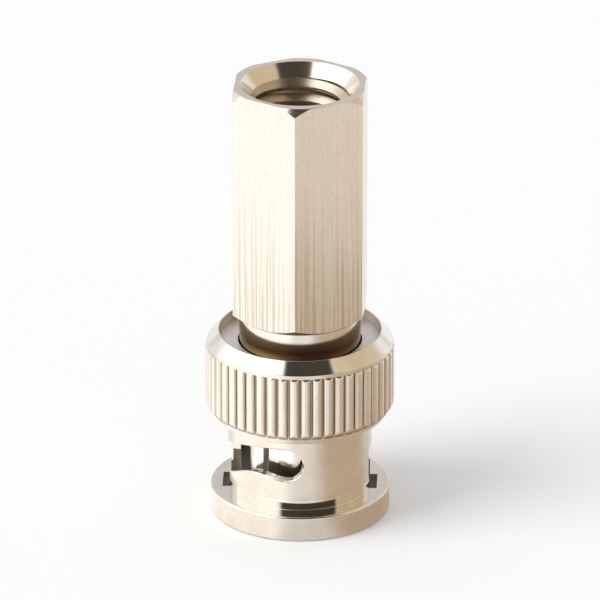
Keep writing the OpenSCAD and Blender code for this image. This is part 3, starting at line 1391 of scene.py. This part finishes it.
@dataclass
class WasherStack(SubAssembly):
    """The slip washer and the two wave washers that pull the plug home."""

    bore_r: float = 4.93
    rim_r: float = 6.1
    slip_z: float = 13.3
    slip_h: float = 0.5
    wave_t: float = 0.25
    wave_h: float = 1.22
    waves: int = 3
    gap: float = 0.01
    keep: float = 0.6

    def build_slip(self) -> bpy.types.Object:
        """Turns the flat washer on which the waves slide.

        Returns:
            The slip washer.
        """
        low, high = self.slip_z, self.slip_z + self.slip_h
        corners = flat_ring(self.bore_r, self.rim_r, low, high, edge=0.05)
        return turned("slip_ring", corners, [self.finishes.steel], segments=128)

    def build_wave(self, name: str, low: float, turn: float) -> bpy.types.Object:
        """Bends a strip into a wave washer.

        Args:
            name: The object's name.
            low: Height of its lowest points.
            turn: Angle that its waves are turned by, in degrees.

        Returns:
            The washer.
        """
        steps, lift, edge = 180, (self.wave_h - self.wave_t) / 2, 0.04
        inner, outer = self.bore_r + 0.1, self.rim_r - 0.1
        loops = []
        for i in range(steps):
            a = math.tau * i / steps
            z = low + lift * (1 + math.cos(self.waves * (a + math.radians(turn))))
            top = z + self.wave_t
            section = [
                (inner + edge, z), (outer - edge, z), (outer, z + edge), (outer, top - edge),
                (outer - edge, top), (inner + edge, top), (inner, top - edge), (inner, z + edge),
            ]
            loops.append([(r * math.cos(a), r * math.sin(a), h) for r, h in section])
        return loft(name, loops, [self.finishes.spring], closed=True)

    def build(self) -> None:
        """Builds the stack and hands it over."""
        self.hand_over(self.build_slip(), Body.WASHERS, "steel_washer", "slip_washer")
        rear_low = self.slip_z - self.gap - self.wave_h
        front_low = rear_low - 2 * self.gap - self.wave_h
        rear = self.build_wave("wave_spring_rear", rear_low, 180 / self.waves)
        front = self.build_wave("wave_spring_front", front_low, 0)
        for wave, node in ((rear, "wave_washer_rear"), (front, "wave_washer_front")):
            self.hand_over(wave, Body.WASHERS, "spring_steel", node)
            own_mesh(wave)


@dataclass
class PlugCore(SubAssembly):
    """The turned body with the contacts, insulators and gasket that it holds."""

    shoulder_r: float = 6.12
    shoulder_z: float = 9.65
    shoulder_h: float = 1.05
    hub_r: float = 4.2
    hub_end_z: float = 16.5
    post_r: float = 2.25
    post_end_z: float = 20.0
    entry_r: float = 1.9
    back_stop_z: float = 15.6
    tail_r: float = 3.6
    tail_in_r: float = 3.1
    tail_end_z: float = 12.5
    sleeve_r: float = 4.05
    sleeve_in_r: float = 3.65
    sleeve_z: float = 0.8
    root_r: float = 3.85
    root_z: float = 8.85
    finger_floor_z: float = 9.4
    slots_end_z: float = 8.2
    slots: tuple[tuple[float, float], ...] = ((48, 0.6), (107, 0.25), (167, 0.6))
    root_bevel: float = 0.12
    gasket_r: float = 4.85
    gasket_h: float = 0.65
    face_lap: float = 0.2  # how far the front insulator's face covers the tail
    rear_mouth_r: float = 1.35
    funnel_r: float = 1.4  # where the ground post's bore meets the insulator
    funnel_h: float = 0.4
    post_bevel_h: float = 0.35
    post_lip: float = 0.08
    insulator_z: float = 5.0
    pin_r: float = 0.685
    pin_z: float = 1.7
    tip_r: float = 0.12
    point_h: float = 0.7
    shank_r: float = 1.0
    collar_r: float = 1.15
    collar_z: float = 10.6
    collar_h: float = 0.8
    socket_r: float = 0.95
    socket_bore_r: float = 0.42
    socket_end_z: float = 15.0
    socket_mouth: float = 0.25
    socket_mouth_h: float = 0.3
    socket_slit_w: float = 0.2
    socket_slit_h: float = 2.6
    drill_z: float = 0.4  # above the collar
    drill_point_h: float = 0.2
    slide_fit: float = 0.02
    press: float = 0.02

    def build_body(self) -> bpy.types.Object:
        """Turns the shoulder, hub and ground post.

        Returns:
            The body.
        """
        top = self.shoulder_z + self.shoulder_h
        edge = 0.15
        hub = self.hub_r + self.press
        corners = [
            Corner(self.tail_r, self.shoulder_z),
            Corner(self.shoulder_r, self.shoulder_z, edge),
            Corner(self.shoulder_r, top, edge),
            Corner(hub, top),
            Corner(hub, self.hub_end_z, 0.25),
            Corner(self.post_r, self.hub_end_z),
            Corner(self.post_r, self.post_end_z - self.post_bevel_h, 0.1),
            Corner(self.entry_r + self.post_lip, self.post_end_z, 0.03),
            Corner(self.entry_r, self.post_end_z, 0.03),
            Corner(self.entry_r, self.back_stop_z + self.funnel_h),
            Corner(self.funnel_r, self.back_stop_z),
            Corner(self.tail_in_r, self.back_stop_z),
            Corner(self.tail_in_r, self.tail_end_z + 0.1),
            Corner(self.tail_r, self.tail_end_z + 0.1),
        ]
        return turned("shoulder_and_post", corners, [self.finishes.bore_dull], segments=128)

    def build_sleeve(self) -> bpy.types.Object:
        """Turns the contact sleeve and saws its fingers.

        Returns:
            The sleeve.
        """
        tail = self.tail_r + self.press
        corners = [
            Corner(self.sleeve_in_r, self.sleeve_z, 0.1),
            Corner(self.sleeve_r, self.sleeve_z, 0.15),
            Corner(self.sleeve_r, self.root_z - self.root_bevel, 0.05),
            Corner(self.root_r, self.root_z),
            Corner(self.root_r, self.shoulder_z),
            Corner(tail, self.shoulder_z),
            Corner(tail, self.tail_end_z),
            Corner(self.tail_in_r, self.tail_end_z),
            Corner(self.tail_in_r, self.finger_floor_z),
            Corner(self.sleeve_in_r, self.finger_floor_z),
        ]
        finishes = [self.finishes.contact]
        sleeve = turned("contact_fingers", corners, finishes, segments=192)
        cutters = []
        for angle, width in self.slots:
            low, high = (-5.0, -width / 2, -0.5), (5.0, width / 2, self.slots_end_z)
            cutters.append(block("finger_saw", low, high, angle, finishes))
        carve(sleeve, cutters)
        restore_turned_normals(sleeve, corners)
        return sleeve

    def build_gasket(self) -> bpy.types.Object:
        """Makes the rubber ring that seals against the rim of a jack.

        Returns:
            The gasket.
        """
        low = self.shoulder_z - self.gasket_h
        inner = self.root_r + self.slide_fit
        corners = [
            Corner(inner, low, 0.08),
            Corner(self.gasket_r, low, 0.15),
            Corner(self.gasket_r, self.shoulder_z, 0.03),
            Corner(inner, self.shoulder_z),
        ]
        return turned("face_seal", corners, [self.finishes.rubber], segments=128)

    def build_front_insulator(self) -> bpy.types.Object:
        """Turns the insulator whose face shows round the pin.

        Returns:
            The front insulator.
        """
        hole = self.shank_r + self.slide_fit
        face = self.tail_in_r + self.face_lap
        stem = self.tail_in_r - self.slide_fit
        corners = [
            Corner(hole, self.insulator_z, 0.04),
            Corner(face, self.insulator_z, 0.12),
            Corner(face, self.finger_floor_z),
            Corner(stem, self.finger_floor_z),
            Corner(stem, self.collar_z),
            Corner(hole, self.collar_z),
        ]
        return turned("insulator_face", corners, [self.finishes.polymer], segments=128)

    def build_rear_insulator(self) -> bpy.types.Object:
        """Turns the insulator that holds the pin's collar from behind.

        Returns:
            The rear insulator.
        """
        seat = self.collar_z + self.collar_h
        stem = self.tail_in_r - self.slide_fit
        corners = [
            Corner(self.collar_r + self.slide_fit, self.collar_z),
            Corner(stem, self.collar_z),
            Corner(stem, self.back_stop_z),
            Corner(self.rear_mouth_r, self.back_stop_z, 0.05),
            Corner(self.socket_r + self.slide_fit, self.socket_end_z),
            Corner(self.socket_r + self.slide_fit, seat),
            Corner(self.collar_r + self.slide_fit, seat),
        ]
        return turned("insulator_rear", corners, [self.finishes.polymer], segments=96)

    def build_pin(self) -> bpy.types.Object:
        """Turns the centre pin and splits its socket.

        Returns:
            The pin.
        """
        face = self.insulator_z + 0.05
        top = self.collar_z + self.collar_h
        corners = [
            Corner(0, self.pin_z),
            Corner(self.tip_r, self.pin_z, 0.06),
            Corner(self.pin_r, self.pin_z + self.point_h, 0.4),
            Corner(self.pin_r, face),
            Corner(self.shank_r, face, 0.04),
            Corner(self.shank_r, self.collar_z),
            Corner(self.collar_r, self.collar_z),
            Corner(self.collar_r, top),
            Corner(self.socket_r, top),
            Corner(self.socket_r, self.socket_end_z, 0.05),
            Corner(self.socket_bore_r + self.socket_mouth, self.socket_end_z),
            Corner(self.socket_bore_r, self.socket_end_z - self.socket_mouth_h),
            Corner(self.socket_bore_r, top + self.drill_z),
            Corner(0, top + self.drill_z - self.drill_point_h),
        ]
        pin = turned("pin_gilt", corners, [self.finishes.gold], segments=64)
        half, past = self.socket_slit_w / 2, 0.4
        low = (-2.0, -half, self.socket_end_z - self.socket_slit_h)
        high = (2.0, half, self.socket_end_z + past)
        carve(pin, [block("socket_saw", low, high, 0, [self.finishes.gold])])
        restore_turned_normals(pin, corners)
        return pin

    def build(self) -> None:
        """Builds the core's pieces and hands them over."""
        plug = Body.PLUG
        self.hand_over(self.build_body(), plug, "nickel_body", "body_shell")
        self.hand_over(self.build_sleeve(), plug, "nickel_contact", "outer_contact")
        self.hand_over(self.build_gasket(), plug, "silicone_gasket", "face_gasket")
        self.hand_over(self.build_front_insulator(), plug, "insulator", "front_insulator")
        self.hand_over(self.build_rear_insulator(), plug, "insulator", "rear_insulator")
        self.hand_over(self.build_pin(), plug, "gold_pin", "centre_pin")


@dataclass
class HexBarrel(SubAssembly):
    """The round neck and hexagon, with the thread that grips the cable."""

    neck_r: float = 4.85
    neck_z: float = 10.7
    foot_r: float = 5.0
    hex_z: float = 17.0
    top_z: float = 36.5
    flat_r: float = 5.15
    foot_slope: float = 0.75
    corner_rounding: float = 0.1
    corner_angle: float = -94.0
    rim_r: float = 5.37
    least_bevel: float = 0.03
    mouth_r: float = 4.7
    mouth_depth: float = 1.05
    bore_r: float = 3.88
    hub_r: float = 4.2
    relief_z: float = 20.2
    thread_depth: float = 0.48
    thread_pitch: float = 1.25
    thread_root: float = 0.42  # half a turn's width at its root, against the pitch
    thread_crest: float = 0.05  # half its width at its crest
    cone_gap: float = 0.004
    thread_angle: float = 0.0
    thread_run_in: float = 0.6  # from the relief to the lowest turn
    thread_run_out: float = 0.75  # from the highest turn to the end face
    steps_in_turn: int = 96

    def columns(self) -> list[Column]:
        """Spaces the hexagon's columns: close together round each corner, then along each flat.

        Returns:
            The columns, counter-clockwise.
        """
        centre = (self.flat_r - self.corner_rounding) / math.cos(math.pi / 6)
        found = []
        arc_steps, flat_steps = 4, 14
        for side in range(6):
            corner = math.radians(self.corner_angle) + side * math.pi / 3
            middle = Vector((math.cos(corner), math.sin(corner))) * centre
            ends = []
            for i in range(arc_steps + 1):
                facing = corner + math.radians(-30 + 60 * i / arc_steps)
                at = middle + Vector((math.cos(facing), math.sin(facing))) * self.corner_rounding
                ends.append((at, facing))
            last, facing = ends[-1]
            following = corner + math.pi / 3
            start = Vector((math.cos(following), math.sin(following))) * centre
            start += Vector((math.cos(facing), math.sin(facing))) * self.corner_rounding
            ends += [(last.lerp(start, k / flat_steps), facing) for k in range(1, flat_steps)]
            for at, direction in ends:
                found.append(Column(math.atan2(at.y, at.x), direction, at.length))
        return found

    def outline(self, column: Column) -> list[Corner]:
        """Lays out the barrel's section at one column.

        Args:
            column: The column.

        Returns:
            The closed outline.
        """
        fine, turned_land, bore = 0.05, 1, 2
        low = self.hex_z + (column.reach - self.foot_r) * self.foot_slope
        high = self.top_z - max(column.reach - self.rim_r, self.least_bevel)
        rim = min(column.reach - self.least_bevel, self.rim_r)
        return [
            Corner(self.mouth_r, self.top_z, 0.04, turned_land),
            Corner(self.bore_r, self.top_z - self.mouth_depth, 0.0, bore),
            Corner(self.bore_r, self.relief_z, 0.0, bore),
            Corner(self.hub_r, self.relief_z, 0.0, bore),
            Corner(self.hub_r, self.neck_z, 0.0, bore),
            Corner(self.neck_r, self.neck_z, fine, turned_land),
            Corner(self.neck_r, self.hex_z, fine, turned_land),
            Corner(self.foot_r, self.hex_z, 0.02, turned_land),
            Corner(column.reach, low, fine, 0, True),
            Corner(column.reach, high, 0.02, turned_land),
            Corner(rim, self.top_z, 0.02, turned_land),
        ]

    def build_barrel(self) -> bpy.types.Object:
        """Shapes the neck, the hexagon and the bore."""
        finishes = [self.finishes.hex_drawn, self.finishes.hex_turned, self.finishes.hex_bore]
        return shell("hex_sleeve", self.outline, self.columns(), finishes)

    def build_thread(self) -> bpy.types.Object:
        """Winds the thread inside the cable entry.

        Returns:
            The thread.
        """
        half, crest = self.thread_pitch * self.thread_root, self.thread_crest
        sunk, depth = 0.03, self.thread_depth
        soft_r, soft = 0.04 - depth, crest * 1.8
        section = [
            (sunk, -half), (0.0, -half), (soft_r, -soft), (-depth, -crest),
            (-depth, crest), (soft_r, soft), (0.0, half), (sunk, half),
        ]
        mesh = bpy.data.meshes.new("cable_thread")
        edges = [(i, (i + 1) % len(section)) for i in range(len(section))]
        mesh.from_pydata([(x * MM, y * MM, 0) for x, y in section], edges, [])
        thread = new_object("cable_thread", mesh, [self.finishes.hex_bore])
        start = self.relief_z + self.thread_run_in
        turns = (self.top_z - self.thread_run_out - start) / self.thread_pitch
        slope = (self.mouth_r - self.bore_r) / self.mouth_depth
        thread_tree().run(
            thread,
            Material=self.finishes.hex_bore,
            Radius=self.bore_r * MM,
            Pitch=self.thread_pitch * MM,
            Start_height=start * MM,
            Start_angle=math.radians(self.thread_angle),
            Cone_radius=(self.bore_r + self.cone_gap) * MM,
            Cone_height=(self.top_z - self.mouth_depth) * MM,
            Cone_slope=slope,
            Steps=int(turns * self.steps_in_turn),
            Steps_in_a_turn=self.steps_in_turn,
        )
        face_outwards(thread.data)
        return thread

    def build(self) -> None:
        """Builds the barrel's pieces and hands them over."""
        self.hand_over(self.build_barrel(), Body.PLUG, "nickel_hex", "hex_barrel")
        self.hand_over(self.build_thread(), Body.PLUG, "nickel_hex")


# ---- studio ----------------------------------------------------------------------------------


@dataclass(frozen=True)
class Card:
    """A soft-edged panel that only reflections show, as a studio's panels do in polished metal.

    Azimuth 0 is in front of the plug and 90 to its right; all angles are in degrees.
    """

    name: str
    azimuths: tuple[float, float]
    elevations: tuple[float, float]
    colour: Colour
    strength: float
    distance: float = 0.9
    softness: float = 0.18
    fade: float = 0.12
    near_edge: bool = False  # whether the lower edge is a plain one

    def place(self, u: float, v: float) -> Point:
        """Finds a point of the panel on the ball round the plug.

        Args:
            u: Share of the panel's width.
            v: Share of its height.

        Returns:
            The point, in metres.
        """
        a = math.radians(self.azimuths[0] + (self.azimuths[1] - self.azimuths[0]) * u)
        e = math.radians(self.elevations[0] + (self.elevations[1] - self.elevations[0]) * v)
        flat = math.cos(e) * self.distance
        return math.sin(a) * flat, -math.cos(a) * flat, math.sin(e) * self.distance

    def build(self) -> bpy.types.Object:
        """Builds the panel, which is a part of a ball round the plug or lies flat.

        Returns:
            The panel.
        """
        across, up = 40, 24
        vertices, faces, marks = [], [], []
        for j in range(up + 1):
            for i in range(across + 1):
                marks.append((i / across, j / up))
                vertices.append(self.place(*marks[-1]))
        for j in range(up):
            for i in range(across):
                a = j * (across + 1) + i
                faces.append([a, a + across + 1, a + across + 2, a + 1])
        mesh = bpy.data.meshes.new(self.name)
        mesh.from_pydata(vertices, [], faces)
        layer = mesh.uv_layers.new(name="UVMap")
        for loop in mesh.loops:
            layer.data[loop.index].uv = marks[loop.vertex_index]
        made = new_object(self.name, mesh, [self.material()])
        for seen in ("camera", "diffuse", "transmission", "volume_scatter", "shadow"):
            setattr(made, f"visible_{seen}", False)
        return made

    def material(self) -> bpy.types.Material:
        """Makes the panel's glow, which fades out towards its edges.

        Returns:
            The material.
        """
        shader = Shader(self.name)
        parts = shader.node("ShaderNodeSeparateXYZ")
        shader.link(shader.node("ShaderNodeUVMap", uv_map="UVMap").outputs[0], parts.inputs[0])
        u, v = parts.outputs["X"], parts.outputs["Y"]
        share = shader.math(
            "MULTIPLY",
            shader.span(u, 0.0, self.softness, 0.0, 1.0),
            shader.span(u, 1.0 - self.softness, 1.0, 1.0, 0.0),
        )
        share = shader.math("MULTIPLY", share, shader.span(v, 1.0 - self.fade, 1.0, 1.0, 0.0))
        if not self.near_edge:
            share = shader.math("MULTIPLY", share, shader.span(v, 0.0, self.fade, 0.0, 1.0))
        glow = shader.node("ShaderNodeEmission")
        shader.link((*self.colour, 1.0), glow.inputs["Color"])
        shader.link(self.strength, glow.inputs["Strength"])
        clear = shader.node("ShaderNodeBsdfTransparent")
        mixed = shader.node("ShaderNodeMixShader")
        shader.link(share, mixed.inputs[0])
        shader.link(clear.outputs[0], mixed.inputs[1])
        shader.link(glow.outputs[0], mixed.inputs[2])
        return shader.finish(mixed.outputs[0])


@dataclass(frozen=True)
class FloorPanel(Card):
    """A soft-edged panel that lies on the floor, which fades at its far edge alone. Only
    reflections show it: a painted reflection of the floor's shade, or of its light.

    Its elevations are distances from the axis and its distance is its height, in millimetres.
    """

    near_edge: bool = True

    def place(self, u: float, v: float) -> Point:
        """Finds a point of the panel on the floor.

        Args:
            u: Share of the panel's width.
            v: Share of its reach.

        Returns:
            The point, in metres.
        """
        a = math.radians(self.azimuths[0] + (self.azimuths[1] - self.azimuths[0]) * u)
        reach = (self.elevations[0] + (self.elevations[1] - self.elevations[0]) * v) * MM
        return math.sin(a) * reach, -math.cos(a) * reach, self.distance * MM


def seen_directly(tree: NodeTree) -> bpy.types.NodeSocket:
    """Tells the rays that show the background itself: camera, glossy and transmission rays.

    Args:
        tree: The tree that asks.

    Returns:
        1 for these rays and 0 for all others.
    """
    path = tree.node("ShaderNodeLightPath")
    seen = tree.math("MAXIMUM", path.outputs["Is Camera Ray"], path.outputs["Is Glossy Ray"])
    return tree.math("MAXIMUM", seen, path.outputs["Is Transmission Ray"])


@dataclass
class Studio:
    """The camera, floor, lamps and panels round the plug."""

    elevation: float = 23.6
    distance: float = 0.6
    aim_z: float = 0.0179
    lens: float = 452.0
    floor_size: float = 4.0
    floor_colour: Colour = (0.93, 0.93, 0.93)
    floor_lift: float = 0.09
    sky: float = 0.62
    sun: float = 1.35
    sun_azimuth: float = -68.0
    sun_elevation: float = 52.0
    sun_size: float = 34.0
    cards: tuple[Card, ...] = (
        Card(
            "panel_dark", (-35, 64), (10, 82), (0.07, 0.058, 0.045), 1.0,
            distance=0.95, softness=0.08, fade=0.08,
        ),
        Card("panel_warm", (52, 135), (4, 80), (0.74, 0.62, 0.44), 1.0, distance=1.0, softness=0.2),
        Card(
            "panel_bright", (-130, -28), (5, 78), (1.0, 0.99, 0.97), 1.6,
            distance=1.05, softness=0.12,
        ),
        Card(
            "panel_back", (135, 225), (6, 48), (0.70, 0.68, 0.665), 1.0,
            distance=1.1, softness=0.15, fade=0.15,
        ),
        # painted reflections: the floor's shade to the right and near the foot, and extra floor
        # light on the left
        FloorPanel(
            "painted_floor_shade_right", (12, 122), (7.3, 160), (0.86, 0.785, 0.70), 1.0,
            distance=0.02, softness=0.25, fade=0.01,
        ),
        FloorPanel(
            "painted_floor_shade_near", (14, 120), (7.3, 70), (0.62, 0.51, 0.39), 1.0,
            distance=0.03, softness=0.25, fade=0.4,
        ),
        FloorPanel(
            "painted_floor_light_left", (-125, -6), (7.3, 160), (1.0, 0.995, 0.98), 1.38,
            distance=0.02, softness=0.15, fade=0.01,
        ),
    )

    def build_camera(self) -> None:
        """Places the camera in front of the plug, above it and far away."""
        data = bpy.data.cameras.new("camera")
        data.lens = self.lens
        data.clip_start = 0.01
        camera = bpy.data.objects.new("camera", data)
        bpy.context.scene.collection.objects.link(camera)
        e = math.radians(self.elevation)
        back = Vector((0, -math.cos(e), math.sin(e)))
        camera.location = Vector((0, 0, self.aim_z)) + back * self.distance
        camera.rotation_euler = back.to_track_quat("Z", "Y").to_euler()
        bpy.context.scene.camera = camera

    def build_floor(self) -> None:
        """Lays the pale floor that the plug stands on."""
        half = self.floor_size / 2
        mesh = bpy.data.meshes.new("floor")
        corners = [(-half, -half, 0), (half, -half, 0), (half, half, 0), (-half, half, 0)]
        mesh.from_pydata(corners, [], [[0, 1, 2, 3]])
        shader = Shader("floor")
        main = shader.node("ShaderNodeBsdfDiffuse")
        shader.link((*self.floor_colour, 1.0), main.inputs["Color"])
        glow = shader.node("ShaderNodeEmission")
        lift = shader.math("MULTIPLY", seen_directly(shader), self.floor_lift)
        shader.link(lift, glow.inputs["Strength"])
        both = shader.node("ShaderNodeAddShader")
        shader.link(main.outputs[0], both.inputs[0])
        shader.link(glow.outputs[0], both.inputs[1])
        floor = new_object("floor", mesh, [shader.finish(both.outputs[0])])

    def build_world(self) -> None:
        """Lights the plug from all round, and shows white where the world itself is seen."""
        world = bpy.data.worlds.new("world")
        bpy.context.scene.world = world
        world.use_nodes = True
        tree = NodeTree(world.node_tree)
        sky = world.node_tree.nodes["Background"]
        sky.inputs["Color"].default_value = (1, 1, 1, 1)
        level = tree.node("ShaderNodeMapRange")
        level.inputs["To Min"].default_value = self.sky
        level.inputs["To Max"].default_value = 1.0
        tree.link(seen_directly(tree), level.inputs["Value"])
        tree.link(level.outputs[0], sky.inputs["Strength"])

    def build_sun(self) -> None:
        """Hangs one wide, soft lamp high on the left."""
        data = bpy.data.lights.new("soft_lamp", "SUN")
        data.energy = self.sun
        data.angle = math.radians(self.sun_size)
        lamp = bpy.data.objects.new("soft_lamp", data)
        bpy.context.scene.collection.objects.link(lamp)
        a, e = math.radians(self.sun_azimuth), math.radians(self.sun_elevation)
        back = Vector((math.sin(a) * math.cos(e), -math.cos(a) * math.cos(e), math.sin(e)))
        lamp.rotation_euler = back.to_track_quat("Z", "Y").to_euler()

    def build(self) -> None:
        """Builds the whole studio."""
        bpy.context.scene.view_settings.view_transform = "Standard"
        self.build_camera()
        self.build_floor()
        self.build_world()
        self.build_sun()
        for card in self.cards:
            card.build()


# ---- the whole -------------------------------------------------------------------------------


def main() -> None:
    """Builds the studio and then the plug's sub-assemblies in order."""
    logging.basicConfig(level=logging.INFO)
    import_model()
    Studio().build()
    finishes = Finishes()
    for kind in (CouplingNut, WasherStack, PlugCore, HexBarrel):
        LOG.info("building %s", kind.__name__)
        kind(finishes).build()
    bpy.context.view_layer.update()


if __name__ == "__main__":
    main()
